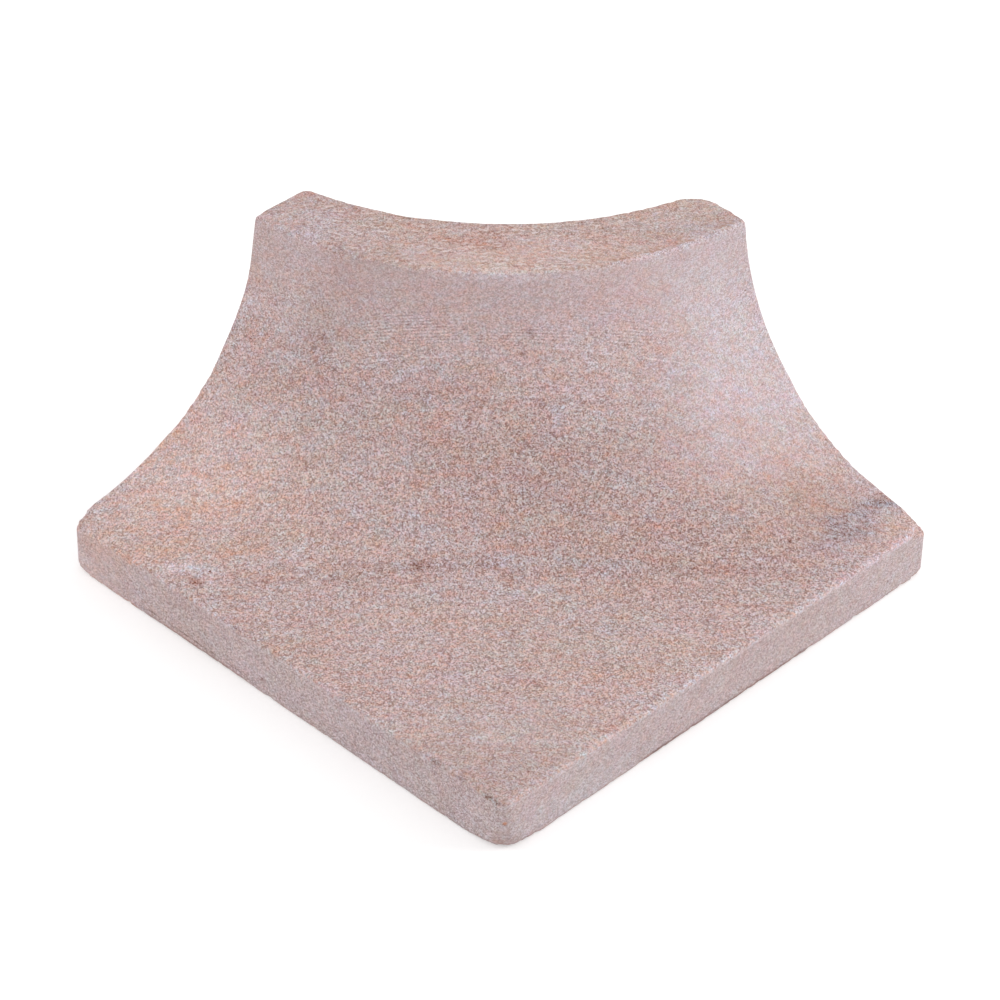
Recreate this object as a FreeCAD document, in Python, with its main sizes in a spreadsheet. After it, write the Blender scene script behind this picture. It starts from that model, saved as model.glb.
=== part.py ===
import FreeCAD, Part
import math
import os

import Sketcher

# Corner tile of a pool edge: one block of sandstone, 300 mm square in plan.
# A slab 30 mm thick carries a lip that rises to 150 mm and curves around the
# square's back corner. One large cove, turned about that corner, joins the two.
# The frame has +Z up and its origin under the middle of the square, on the bed
# face. The back corner, about which the lip curves, is at -X +Y. The joint faces,
# where the straight tiles of the edge carry on, look to -X and to +Y.

# Driving dimensions, in millimetres
SIZES = [
    ("plan_side", 300.0, "side of the square plan"),
    ("overall_height", 150.0, "bed face to top of lip"),
    ("slab_thickness", 30.0, "slab at the outer edges"),
    ("lip_edge_radius", 171.0, "front edge of the lip's top, about the back corner"),
    ("lip_end_thickness", 33.0, "top of the lip at the joint faces"),
    ("pool_arc_radius", 175.0, "hollow upright wall behind the lip"),
    ("cove_radius", 132.0, "section of the cove between lip and slab"),
    ("outer_corner_round", 5.0, "upright edge at the outer corner"),
    ("side_corner_round", 4.0, "upright edges where joint and outer faces meet"),
    ("lip_corner_round", 4.0, "upright edge of the lip at the -X joint face"),
    ("worn_corner_round", 14.0, "upright edge of the lip at the +Y joint face, worn"),
    ("arris_width", 1.0, "small chamfer along every sharp arris"),
]

# The cove's cut runs this far past the stone, so that no skin is left on a face
CUT_OVERRUN = 5.0

# Faces that meet at less than this angle, in degrees, have no edge to ease
SMOOTH_ANGLE = 20.0

# Two places closer than this are the same place
SAME_PLACE = 0.001


def make_sheet(doc):
    """The sheet of driving dimensions, one alias a row."""
    sheet = doc.addObject("Spreadsheet::Sheet", "Sizes")
    for row, (alias, value, note) in enumerate(SIZES, start=1):
        sheet.set("A%d" % row, alias)
        sheet.set("B%d" % row, str(value))
        sheet.set("C%d" % row, note)
        sheet.setAlias("B%d" % row, alias)
    doc.recompute()
    return sheet


def new_sketch(body, name, role):
    """A sketch on one of the body's own origin planes."""
    sketch = body.newObject("Sketcher::SketchObject", name)
    planes = {plane.Role: plane for plane in body.Origin.OriginFeatures}
    sketch.AttachmentSupport = [(planes[role], "")]
    sketch.MapMode = "FlatFace"
    return sketch


def bind(sketch, constraint, expression):
    """Add a dimension to the sketch and tie it to the sheet."""
    index = sketch.addConstraint(constraint)
    sketch.setExpression("Constraints[%d]" % index, expression)


def point(x, y):
    """A point in the plane of a sketch."""
    return FreeCAD.Vector(x, y, 0.0)


def pool_arc_reach(sheet):
    """Where the hollow wall meets the joint faces, out from the back corner."""
    return sheet.lip_edge_radius - sheet.lip_end_thickness


def draw_plan(body, sheet):
    """Plan of the stone: a square whose back corner the pool's arc cuts off."""
    half = sheet.plan_side / 2
    reach = pool_arc_reach(sheet)
    left_end = point(-half, half - reach)
    back_end = point(-half + reach, half)
    middle = (left_end + back_end) / 2
    half_chord = left_end.distanceToPoint(middle)
    rise = math.sqrt(sheet.pool_arc_radius ** 2 - half_chord ** 2)
    toward_pool = point(-1, 1).normalize()
    centre = middle + toward_pool * rise
    deepest = centre - toward_pool * sheet.pool_arc_radius
    outer = point(half, -half)
    left = point(-half, -half)
    right = point(half, half)

    sketch = new_sketch(body, "Plan", "XY_Plane")
    front_edge = sketch.addGeometry(Part.LineSegment(left, outer))
    right_edge = sketch.addGeometry(Part.LineSegment(outer, right))
    back_joint = sketch.addGeometry(Part.LineSegment(right, back_end))
    pool_arc = sketch.addGeometry(Part.Arc(back_end, deepest, left_end))
    left_joint = sketch.addGeometry(Part.LineSegment(left_end, left))

    # The arc may have been stored either way round, so its ends are looked up
    arc_start = sketch.getPoint(pool_arc, 1)
    starts_at_back = arc_start.distanceToPoint(back_end) < SAME_PLACE
    arc_at_back, arc_at_left = (1, 2) if starts_at_back else (2, 1)
    join = Sketcher.Constraint
    sketch.addConstraint(join("Coincident", front_edge, 2, right_edge, 1))
    sketch.addConstraint(join("Coincident", right_edge, 2, back_joint, 1))
    sketch.addConstraint(join("Coincident", back_joint, 2, pool_arc, arc_at_back))
    sketch.addConstraint(join("Coincident", pool_arc, arc_at_left, left_joint, 1))
    sketch.addConstraint(join("Coincident", left_joint, 2, front_edge, 1))
    for level in (front_edge, back_joint):
        sketch.addConstraint(join("Horizontal", level))
    for upright in (right_edge, left_joint):
        sketch.addConstraint(join("Vertical", upright))
    sketch.addConstraint(join("Symmetric", front_edge, 1, right_edge, 2, -1, 1))
    bind(sketch, join("Distance", front_edge, half * 2), "Sizes.plan_side")
    bind(sketch, join("Distance", right_edge, half * 2), "Sizes.plan_side")
    joint_length = "Sizes.plan_side - Sizes.lip_edge_radius + Sizes.lip_end_thickness"
    for joint in (back_joint, left_joint):
        bind(sketch, join("Distance", joint, half * 2 - reach), joint_length)
    bind(sketch, join("Radius", pool_arc, sheet.pool_arc_radius), "Sizes.pool_arc_radius")
    return sketch


def pad_block(body, plan):
    """The plan raised to the full height of the stone."""
    block = body.newObject("PartDesign::Pad", "Block")
    block.Profile = plan
    block.setExpression("Length", "Sizes.overall_height")
    return block


def upright_edges(shape, places):
    """Names of the upright edges that stand at these places of the plan."""
    names = []
    for number, edge in enumerate(shape.Edges, start=1):
        low, high = edge.Vertexes[0].Point, edge.Vertexes[-1].Point
        if point(low.x, low.y).distanceToPoint(point(high.x, high.y)) > SAME_PLACE:
            continue
        foot = point(low.x, low.y)
        if any(foot.distanceToPoint(place) < SAME_PLACE for place in places):
            names.append("Edge%d" % number)
    return names


def round_uprights(body, base, name, size, places):
    """Round the upright edges that stand at these places of the plan."""
    body.Document.recompute()  # the edges are read from the base's shape
    rounding = body.newObject("PartDesign::Fillet", name)
    rounding.Base = (base, upright_edges(base.Shape, places))
    rounding.setExpression("Radius", "Sizes." + size)
    return rounding


def round_corners(body, block, sheet):
    """The upright corners, each with the rounding that it has on the stone."""
    half = sheet.plan_side / 2
    reach = pool_arc_reach(sheet)
    outer = [point(half, -half)]
    sides = [point(-half, -half), point(half, half)]
    lip_left = [point(-half, half - reach)]
    lip_back = [point(-half + reach, half)]
    base = round_uprights(body, block, "OuterCorner", "outer_corner_round", outer)
    base = round_uprights(body, base, "SideCorners", "side_corner_round", sides)
    base = round_uprights(body, base, "LipCorner", "lip_corner_round", lip_left)
    return round_uprights(body, base, "WornLipCorner", "worn_corner_round", lip_back)


def draw_cove(body, sheet):
    """Half section of what the cove removes, drawn out from the back corner."""
    top = sheet.overall_height
    slab = sheet.slab_thickness
    lip = sheet.lip_edge_radius
    radius = sheet.cove_radius
    drop = slab + radius - top
    foot = lip + math.sqrt(radius ** 2 - drop ** 2)
    far = sheet.plan_side * math.sqrt(2) + CUT_OVERRUN
    above = top + CUT_OVERRUN
    slope = math.pi + math.asin(drop / radius)
    half_way = (slope + 1.5 * math.pi) / 2
    centre = point(foot, slab + radius)
    belly = centre + point(math.cos(half_way), math.sin(half_way)) * radius

    sketch = new_sketch(body, "CoveSection", "XZ_Plane")
    sketch.setExpression("AttachmentOffset.Base.x", "-Sizes.plan_side / 2")
    sketch.setExpression("AttachmentOffset.Base.z", "-Sizes.plan_side / 2")
    cove = sketch.addGeometry(Part.Arc(point(lip, top), belly, point(foot, slab)))
    floor = sketch.addGeometry(Part.LineSegment(point(foot, slab), point(far, slab)))
    end = sketch.addGeometry(Part.LineSegment(point(far, slab), point(far, above)))
    lid = sketch.addGeometry(Part.LineSegment(point(far, above), point(lip, above)))
    rise = sketch.addGeometry(Part.LineSegment(point(lip, above), point(lip, top)))
    join = Sketcher.Constraint
    sketch.addConstraint(join("Tangent", cove, 2, floor, 1))
    sketch.addConstraint(join("Coincident", floor, 2, end, 1))
    sketch.addConstraint(join("Coincident", end, 2, lid, 1))
    sketch.addConstraint(join("Coincident", lid, 2, rise, 1))
    sketch.addConstraint(join("Coincident", rise, 2, cove, 1))
    for level in (floor, lid):
        sketch.addConstraint(join("Horizontal", level))
    for upright in (end, rise):
        sketch.addConstraint(join("Vertical", upright))
    bind(sketch, join("Radius", cove, radius), "Sizes.cove_radius")
    bind(sketch, join("DistanceX", -1, 1, cove, 1, lip), "Sizes.lip_edge_radius")
    bind(sketch, join("DistanceY", -1, 1, cove, 1, top), "Sizes.overall_height")
    bind(sketch, join("DistanceY", -1, 1, floor, 1, slab), "Sizes.slab_thickness")
    sketch.addConstraint(join("Distance", rise, CUT_OVERRUN))
    reach = "Sizes.plan_side * sqrt(2) + %g" % CUT_OVERRUN
    bind(sketch, join("DistanceX", -1, 1, floor, 2, far), reach)
    return sketch


def groove_cove(body, section, base):
    """Turn the section about the back corner, and take it off the block."""
    body.Document.recompute()
    cove = body.newObject("PartDesign::Groove", "Cove")
    cove.Profile = section
    cove.ReferenceAxis = (section, ["V_Axis"])
    cove.Angle = 360
    body.Document.recompute()
    if cove.Shape.Volume > base.Shape.Volume - 1:
        raise ValueError("the cove removes nothing")
    return cove


def face_angle(shape, edge):
    """Angle between the two faces that meet at the middle of an edge."""
    faces = shape.ancestorsOfType(edge, Part.Face)
    if len(faces) < 2:
        return 0.0
    middle = edge.valueAt((edge.FirstParameter + edge.LastParameter) / 2)
    normals = [face.normalAt(*face.Surface.parameter(middle)) for face in faces[:2]]
    return math.degrees(normals[0].getAngle(normals[1]))


def ease_arrises(body, base):
    """A small chamfer along every sharp edge, as rubbed off after sawing."""
    sharp = []
    for number, edge in enumerate(base.Shape.Edges, start=1):
        if face_angle(base.Shape, edge) > SMOOTH_ANGLE:
            sharp.append("Edge%d" % number)
    easing = body.newObject("PartDesign::Chamfer", "Arrises")
    easing.Base = (base, sharp)
    easing.setExpression("Size", "Sizes.arris_width")
    return easing


def make_corner_tile(doc, sheet):
    """The tile: block, rounded corners, cove, eased arrises."""
    body = doc.addObject("PartDesign::Body", "CornerTile")
    body.Label = "corner_tile"
    plan = draw_plan(body, sheet)
    block = pad_block(body, plan)
    rounded = round_corners(body, block, sheet)
    section = draw_cove(body, sheet)
    cove = groove_cove(body, section, rounded)
    body.Tip = ease_arrises(body, cove)
    doc.recompute()
    return body


def check_document(doc, bodies):
    """Stop if any object failed or any stone is not one valid solid."""
    for item in doc.Objects:
        if "Invalid" in item.State or "Error" in item.State:
            raise ValueError("%s failed: %s" % (item.Name, item.State))
    for body in bodies:
        shape = body.Shape
        if shape.isNull() or not shape.isValid() or len(shape.Solids) != 1:
            raise ValueError(body.Label + " is not one valid solid")


def write_parts(bodies):
    """One STEP file for each piece, named by its label."""
    os.makedirs("parts", exist_ok=True)
    for body in bodies:
        body.Shape.exportStep("parts/%s.step" % body.Label)
        box = body.Shape.optimalBoundingBox()
        print(body.Label, "volume %.1f mm3," % body.Shape.Volume,
              "box %.2f x %.2f x %.2f mm" % (box.XLength, box.YLength, box.ZLength))


doc = FreeCAD.newDocument("PoolCornerTile")
sheet = make_sheet(doc)
pieces = [make_corner_tile(doc, sheet)]
check_document(doc, pieces)
write_parts(pieces)
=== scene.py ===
import math

import bmesh
import bpy
import numpy as np
from mathutils import Matrix, Vector, noise


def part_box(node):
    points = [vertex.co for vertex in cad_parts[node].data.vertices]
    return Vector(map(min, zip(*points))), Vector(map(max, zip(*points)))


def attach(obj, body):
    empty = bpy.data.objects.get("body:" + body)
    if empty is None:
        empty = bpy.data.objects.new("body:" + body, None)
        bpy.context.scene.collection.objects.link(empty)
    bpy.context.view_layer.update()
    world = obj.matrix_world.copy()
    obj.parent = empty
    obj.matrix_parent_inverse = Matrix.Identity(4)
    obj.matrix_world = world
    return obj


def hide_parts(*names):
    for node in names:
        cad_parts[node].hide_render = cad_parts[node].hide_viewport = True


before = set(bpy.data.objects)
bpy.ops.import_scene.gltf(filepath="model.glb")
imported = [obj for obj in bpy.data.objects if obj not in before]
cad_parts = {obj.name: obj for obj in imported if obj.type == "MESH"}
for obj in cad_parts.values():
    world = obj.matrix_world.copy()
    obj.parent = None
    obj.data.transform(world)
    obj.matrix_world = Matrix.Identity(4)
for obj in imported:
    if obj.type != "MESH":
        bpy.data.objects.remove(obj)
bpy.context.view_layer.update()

# Camera: it looks down into the cove from the stone's outer corner, a little off
# the diagonal, from two metres away and tilted by a degree.
CAMERA_AIM = Vector((0.01392, -0.01490, 0.05870))
CAMERA_DISTANCE = 1.978
CAMERA_AZIMUTH = math.radians(43.79)
CAMERA_ELEVATION = math.radians(37.51)
CAMERA_TILT = math.radians(1.14)
CAMERA_LENS = 146.55


def direction(azimuth, elevation):
    """Unit vector from the stone; azimuth 0 is -Y and a quarter turn is +X."""
    level = math.cos(elevation)
    return Vector((level * math.sin(azimuth), -level * math.cos(azimuth), math.sin(elevation)))


def placed(thing, aim, azimuth, elevation, distance, tilt=0.0):
    """Stand a camera or a light in that direction, looking at the aim."""
    back = direction(azimuth, elevation)
    turn = back.to_track_quat("Z", "Y").to_matrix().to_4x4()
    thing.matrix_world = (Matrix.Translation(aim + back * distance) @ turn
                          @ Matrix.Rotation(tilt, 4, "Z"))
    bpy.context.scene.collection.objects.link(thing)
    return thing


camera_data = bpy.data.cameras.new("camera")
camera_data.lens = CAMERA_LENS
camera = placed(bpy.data.objects.new("camera", camera_data), CAMERA_AIM,
                CAMERA_AZIMUTH, CAMERA_ELEVATION, CAMERA_DISTANCE, CAMERA_TILT)
bpy.context.scene.camera = camera
bpy.context.scene.view_settings.view_transform = "Standard"

# Light tent: an even white surround, a softbox to the camera's right and a weaker
# one to its left, both low, so that the upright faces are as light as the slab.
TENT_LIGHT = 0.74
SOFTBOX_SIZE = 1.0
SOFTBOX_DISTANCE = 2.0
SOFTBOXES = {
    "right_softbox": {"azimuth": 134, "elevation": 26, "share": 0.34},
    "left_softbox": {"azimuth": -42, "elevation": 26, "share": 0.20},
}


class Field:
    """What one socket gives, so that a finish reads as plain arithmetic."""

    def __init__(self, tree, socket):
        self.tree = tree
        self.socket = socket

    def maths(self, operation, *values):
        """One step of arithmetic, by the name that the Math node gives it."""
        return self.tree.node("ShaderNodeMath", {"operation": operation}, dict(enumerate(values)))

    def __add__(self, other):
        return self.maths("ADD", self, other)

    def __sub__(self, other):
        return self.maths("SUBTRACT", self, other)

    def __rsub__(self, other):
        return self.maths("SUBTRACT", other, self)

    def __mul__(self, other):
        return self.maths("MULTIPLY", self, other)

    def __truediv__(self, other):
        return self.maths("DIVIDE", self, other)

    def __pow__(self, other):
        return self.maths("POWER", self, other)

    __radd__ = __add__
    __rmul__ = __mul__

    def above(self, floor):
        return self.maths("MAXIMUM", self, floor)

    def below(self, ceiling):
        return self.maths("MINIMUM", self, ceiling)

    def ramp(self, start, end):
        """0 up to start, 1 from end on, and an even slope between them."""
        return self.tree.node("ShaderNodeMapRange", {"clamp": True},
                              {"Value": self, "From Min": start, "From Max": end})

    def soft_ramp(self, start, end):
        """0 up to start, 1 from end on, with an S-shaped slope between them."""
        return self.tree.node("ShaderNodeMapRange", {"interpolation_type": "SMOOTHSTEP"},
                              {"Value": self, "From Min": start, "From Max": end})


class Finish:
    """A node tree that is filled one node at a time."""

    def __init__(self, owner):
        owner.use_nodes = True
        self.nodes = owner.node_tree.nodes
        self.links = owner.node_tree.links

    def feed(self, socket, value):
        """Link a field to a socket, or set the socket to a plain value."""
        if isinstance(value, Field):
            self.links.new(value.socket, socket)
        else:
            socket.default_value = value

    def node(self, kind, settings, inputs, output=0):
        """Add a node: its settings come first, then values or links by socket."""
        node = self.nodes.new(kind)
        for setting, value in settings.items():
            setattr(node, setting, value)
        for key, value in inputs.items():
            self.feed(node.inputs[key], value)
        return Field(self, node.outputs[output])

    def shader(self, name, inputs):
        """Feed the shader that the tree already has."""
        for key, value in inputs.items():
            self.feed(self.nodes[name].inputs[key], value)


def rgb(red, green, blue):
    """A colour as read off a screen, 0 to 255, for a colour socket (the sRGB curve)."""
    def linear(level):
        share = level / 255
        return share / 12.92 if share <= 0.04045 else ((share + 0.055) / 1.055) ** 2.4

    return (linear(red), linear(green), linear(blue), 1.0)


WHITE = (1.0, 1.0, 1.0, 1.0)
tent = bpy.data.worlds.new("light_tent")
bpy.context.scene.world = tent
finish = Finish(tent)
seen = finish.node("ShaderNodeLightPath", {}, {}, "Is Camera Ray")
finish.shader("Background", {"Color": WHITE, "Strength": TENT_LIGHT + (1 - TENT_LIGHT) * seen})

# A softbox of this energy lights a face that looks at it as a white tent would, times
# its share
for name, softbox in SOFTBOXES.items():
    lamp = bpy.data.lights.new(name, "AREA")
    lamp.shape = "DISK"
    lamp.size = SOFTBOX_SIZE
    lamp.energy = softbox["share"] * (math.pi * SOFTBOX_DISTANCE) ** 2
    placed(bpy.data.objects.new(name, lamp), CAMERA_AIM, math.radians(softbox["azimuth"]),
           math.radians(softbox["elevation"]), SOFTBOX_DISTANCE)

# Floor: a plain matt white table top, a hair below the stone's bed. It shows a
# little lighter to the camera than it is, so that it runs out into the white.
FLOOR_SIZE = 12.0
FLOOR_DROP = 0.0002
FLOOR_COLOUR = rgb(236, 236, 236)
FLOOR_LIFT = 0.36

floor_mesh = bpy.data.meshes.new("table_top")
plate = bmesh.new()
bmesh.ops.create_grid(plate, x_segments=1, y_segments=1, size=FLOOR_SIZE / 2)
bmesh.ops.translate(plate, verts=plate.verts, vec=(0, 0, -FLOOR_DROP))
plate.to_mesh(floor_mesh)
plate.free()
floor = bpy.data.objects.new("table_top", floor_mesh)
bpy.context.scene.collection.objects.link(floor)
floor_paint = bpy.data.materials.new("table_top")
finish = Finish(floor_paint)
seen = finish.node("ShaderNodeLightPath", {}, {}, "Is Camera Ray")
lift = finish.node("ShaderNodeCombineColor", {}, {0: seen, 1: seen, 2: seen})
finish.shader("Principled BSDF", {
    "Base Color": FLOOR_COLOUR, "Roughness": 1.0, "Specular IOR Level": 0.0,
    "Emission Color": lift, "Emission Strength": FLOOR_LIFT})
floor_mesh.materials.append(floor_paint)

# Corner stone: one block of rose sandstone. The slab, the lip and the cove that
# joins them were sawn and ground out of it, its top was left as it split along the
# bed, and its arrises have been rubbed and chipped since.
MM = 0.001
LOW, HIGH = (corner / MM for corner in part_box("corner_tile"))
SLAB = 30.0
LIP_EDGE_RADIUS = 171.0
LIP_END_THICKNESS = 33.0
POOL_ARC_RADIUS = 175.0
COVE_RADIUS = 132.0
BACK_CORNER = Vector((LOW.x, HIGH.y))
OUTER_CORNER = Vector((HIGH.x, LOW.y))
COVE_CENTRE_HEIGHT = SLAB + COVE_RADIUS
COVE_FOOT_RADIUS = LIP_EDGE_RADIUS + math.sqrt(
    COVE_RADIUS ** 2 - (COVE_CENTRE_HEIGHT - HIGH.z) ** 2)
POOL_REACH = LIP_EDGE_RADIUS - LIP_END_THICKNESS
POOL_CENTRE = BACK_CORNER + Vector((-1, 1)) * (
    math.sqrt(2 * POOL_ARC_RADIUS ** 2 - POOL_REACH ** 2) - POOL_REACH) / 2

# Rounding of the upright corners in plan, cut or worn, in millimetres: one for all of
# them, and others that hold by their own corner, within some times their size
CORNER_ROUND = 4.0
CORNER_HOLD = 3
LEFT_ROUND = 6.5
OUTER_ROUND = 5.0
OUTER_FOOT_ROUND = 14.0
WORN_LIP_ROUND = 14.0

# Places where hand grinding left the cove proud of its arc (+) or below it (-), in
# millimetres: middle of the place, how far it reaches, how proud
SWELLS = [
    ((LOW.x, -22, 141), 33, 2.3),
    ((38, HIGH.y, 100), 60, -0.8),
]

# Mesh of the stone: the sawn block is cut into small even faces, which are then brought
# onto the worn skin in a few steps; lengths in metres
MERGE_GAP = 0.00001
VOXEL = 0.0009
FACE_LIMIT = 190_000
SKIN_STEPS = 3

# Rounding of the arrises, in millimetres; those of the joint and pool faces were
# sawn last and never handled, so they keep a small share of the wear. Wear, chips and
# breaks each follow a pattern of their own size.
ARRIS_ROUND = 1.05
LEAST_ROUND = 0.7
ARRIS_WEAR = 0.5
WEAR_SIZE = 9.0
WEAR_DETAIL = 2.6
CHIP_ROUND = 2.0
CHIP_SIZE = 5.0
CHIP_DETAIL = 1.7
CHIP_SHIFT = Vector((40, 0, 0))
CHIP_RARITY = 0.12
CHIP_SPAN = 0.4
BREAK_SIZE = 3.0
SHELTERED_SHARE = 0.12
SHELTER_DEPTH = 6.0


def lip_edge(degrees):
    """A point of the lip's front edge, by its angle about the back corner."""
    angle = math.radians(degrees)
    return (BACK_CORNER.x + LIP_EDGE_RADIUS * math.sin(angle),
            BACK_CORNER.y - LIP_EDGE_RADIUS * math.cos(angle), HIGH.z)


# Stretches where the arris is broken or worn away: from, to, how far, how round
WORN_PLACES = [
    ((HIGH.x, -52, 0), (HIGH.x, 56, 0), 2, 0.3),
    ((-90, LOW.y, 0), (-26, LOW.y, 0), 2, 0.8),
    ((LOW.x, LOW.y, SLAB), (HIGH.x, LOW.y, SLAB), 4, 0.5),
    ((HIGH.x, LOW.y, SLAB), (HIGH.x, HIGH.y, SLAB), 4, 0.3),
    ((HIGH.x, LOW.y + 10, 0), (HIGH.x - 10, LOW.y, 0), 14, 3.0),
    ((LOW.x, LOW.y, 0), (LOW.x, LOW.y, 0), 10, 5.0),
    ((LOW.x, LOW.y, SLAB), (LOW.x, LOW.y, SLAB), 9, 7.5),
    ((LOW.x, LOW.y, SLAB), (-108, LOW.y, SLAB), 8, 3.6),
    ((HIGH.x, HIGH.y, 0), (HIGH.x, HIGH.y, 0), 7, 3.5),
    ((HIGH.x, HIGH.y, SLAB), (HIGH.x, HIGH.y, SLAB), 11, 8.0),
    ((104, LOW.y, SLAB), (106, LOW.y, SLAB), 3, 1.8),
    ((122, LOW.y, SLAB), (124, LOW.y, SLAB), 2, 1.6),
    ((138, LOW.y, SLAB), (144, LOW.y, SLAB), 3, 1.6),
    ((-33, LOW.y, SLAB), (-27, LOW.y, SLAB), 3, 1.6),
    (lip_edge(88), (16, HIGH.y, HIGH.z), 6, 1.8),
    ((-72, LOW.y, SLAB), (-64, LOW.y, SLAB), 5, 2.2),
    (lip_edge(0), lip_edge(90), 4, 0.5),
    (lip_edge(0), lip_edge(0), 4, 0.8),
    (lip_edge(8), lip_edge(17), 4, 2.6),
    (lip_edge(17), lip_edge(30), 4, 2.0),
    ((LOW.x, -75, 54), (LOW.x, -56, 71), 16, 2.0),
    ((100, HIGH.y, 41), (68, HIGH.y, 61), 16, 2.2),
]


def upright_depths(x, y):
    """How deep a point lies behind each upright face, in millimetres."""
    return [
        x - LOW.x,
        HIGH.y - y,
        y - LOW.y,
        HIGH.x - x,
        np.hypot(x - POOL_CENTRE.x, y - POOL_CENTRE.y) - POOL_ARC_RADIUS,
    ]


def eased(depths, rounding):
    """Depth behind several faces at once, with the edges between them rounded."""
    nearest = np.minimum.reduce(depths)
    crowded = sum(np.maximum(rounding - depth, 0) ** 2 for depth in depths)
    return np.where(nearest >= rounding, nearest, rounding - np.sqrt(crowded))


def soft_step(share):
    """An S-shaped slope from 0 to 1."""
    return share * share * (3 - 2 * share)


def proudness(points):
    """How far the cove stands proud of its arc around each point."""
    total = np.zeros(len(points))
    for middle, reach, proud in SWELLS:
        share = np.maximum(1 - np.linalg.norm(points - middle, axis=1) / reach, 0)
        total += proud * soft_step(share)
    return total


def carried_out(points):
    """Points moved towards the arc's centre where the cove stands proud."""
    away = points[:, :2] - BACK_CORNER
    radius = np.linalg.norm(away, axis=1)
    level = away * (COVE_FOOT_RADIUS / radius - 1)[:, None]
    to_centre = np.column_stack([level, COVE_CENTRE_HEIGHT - points[:, 2]])
    length = np.linalg.norm(to_centre, axis=1)
    return points + to_centre * (proudness(points) / length)[:, None]


def face_depths(points):
    """How deep points lie behind the outline, the cove and slab, the bed and the top."""
    x, y, z = points.T
    corner = np.full(len(x), CORNER_ROUND)
    foot = np.clip(1 - z / SLAB, 0, 1) ** 2
    outer_gap = np.hypot(x - OUTER_CORNER.x, y - OUTER_CORNER.y)
    by_outer = outer_gap < CORNER_HOLD * OUTER_FOOT_ROUND
    corner = np.where(by_outer, OUTER_ROUND + (OUTER_FOOT_ROUND - OUTER_ROUND) * foot, corner)
    corner[np.hypot(x - LOW.x, y - LOW.y) < CORNER_HOLD * LEFT_ROUND] = LEFT_ROUND
    pool_end = LOW.x + POOL_REACH
    worn = np.hypot(x - pool_end, y - HIGH.y) < CORNER_HOLD * WORN_LIP_ROUND
    corner[worn & (x < pool_end + WORN_LIP_ROUND)] = WORN_LIP_ROUND
    outline = eased(upright_depths(x, y), corner)
    radius = np.hypot(x - BACK_CORNER.x, y - BACK_CORNER.y)
    cove = np.where(
        radius < COVE_FOOT_RADIUS,
        np.hypot(radius - COVE_FOOT_RADIUS, z - COVE_CENTRE_HEIGHT) - COVE_RADIUS,
        SLAB - z)
    return [outline, cove + proudness(points), z - LOW.z, HIGH.z - z]


def skin_depth(points, rounding):
    """How deep points lie under the stone's skin, with its arrises rounded."""
    return eased(face_depths(points), rounding)


def along_place(point, start, end):
    """Distance from a point to a straight stretch."""
    start, run = Vector(start), Vector(end) - Vector(start)
    offset = Vector(point) - start
    share = offset.dot(run) / run.length_squared if run.length else 0.0
    return (offset - run * min(max(share, 0.0), 1.0)).length


def arris_rounding(points):
    """How round the arris is near each point: rubbed, chipped here and there."""
    rounding = np.empty(len(points))
    left, back, front, right, pool = upright_depths(*points.T[:2])
    sheltered = (np.minimum.reduce([left, back, pool]) < SHELTER_DEPTH) & (
        np.minimum(front, right) > SHELTER_DEPTH)
    exposed = np.where(sheltered, SHELTERED_SHARE, 1.0)
    for index, point in enumerate(points):
        place = Vector(point)
        wear = noise.noise(place / WEAR_SIZE) + 0.6 * noise.noise(place / WEAR_DETAIL)
        chip = max(0.0, noise.noise(place / CHIP_SIZE + CHIP_SHIFT) - CHIP_RARITY) / CHIP_SPAN
        chip *= 0.7 + noise.noise(place / CHIP_DETAIL)
        rounding[index] = ARRIS_ROUND + exposed[index] * (ARRIS_WEAR * wear + CHIP_ROUND * chip)
        for start, end, reach, extra in WORN_PLACES:
            share = 1 - along_place(point, start, end) / (reach + extra)
            if share > 0:
                broken = 1 + 0.5 * noise.noise(place / BREAK_SIZE)
                rounding[index] += extra * soft_step(share) * broken
    return np.maximum(rounding, LEAST_ROUND)


# Relief of the faces, in millimetres. The split counts in the last few millimetres below
# the top; the lip's left end is sounder, and its right end dips.
SPLIT_RELIEF = 0.5
SPLIT_START = HIGH.z - 3
SPLIT_FADE = 2.0
GROUND_RELIEF = 0.10
GRAIN_RELIEF = 0.05
GRAIN_SIZE = 1.6
LIP_HALF_SPAN = 110.0
LIP_RIGHT_END_DROP = 0.4
SOUND_LEFT_END = 40.0
SOUND_SHARE = 0.2

# Patterns of the relief: size along the strike, across it and upward, then strength
GROUND_WAVES = [(60, 38, 60, 1.0), (16, 9, 16, 0.4)]
SPLIT_RIDGES = (16, 4.2, 20, 1.3)
SPLIT_LUMPS = [(6, 1.9, 8, 0.6), (40, 13, 50, 0.5)]


def drawn_out(point, along, across, upward, strength):
    """One pattern about 0 at a point, drawn out along the strike of the beds."""
    strike = (point[0] + point[1]) / math.sqrt(2)
    dip = (point[0] - point[1]) / math.sqrt(2)
    return strength * noise.noise(Vector((strike / along, dip / across, point[2] / upward)))


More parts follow.
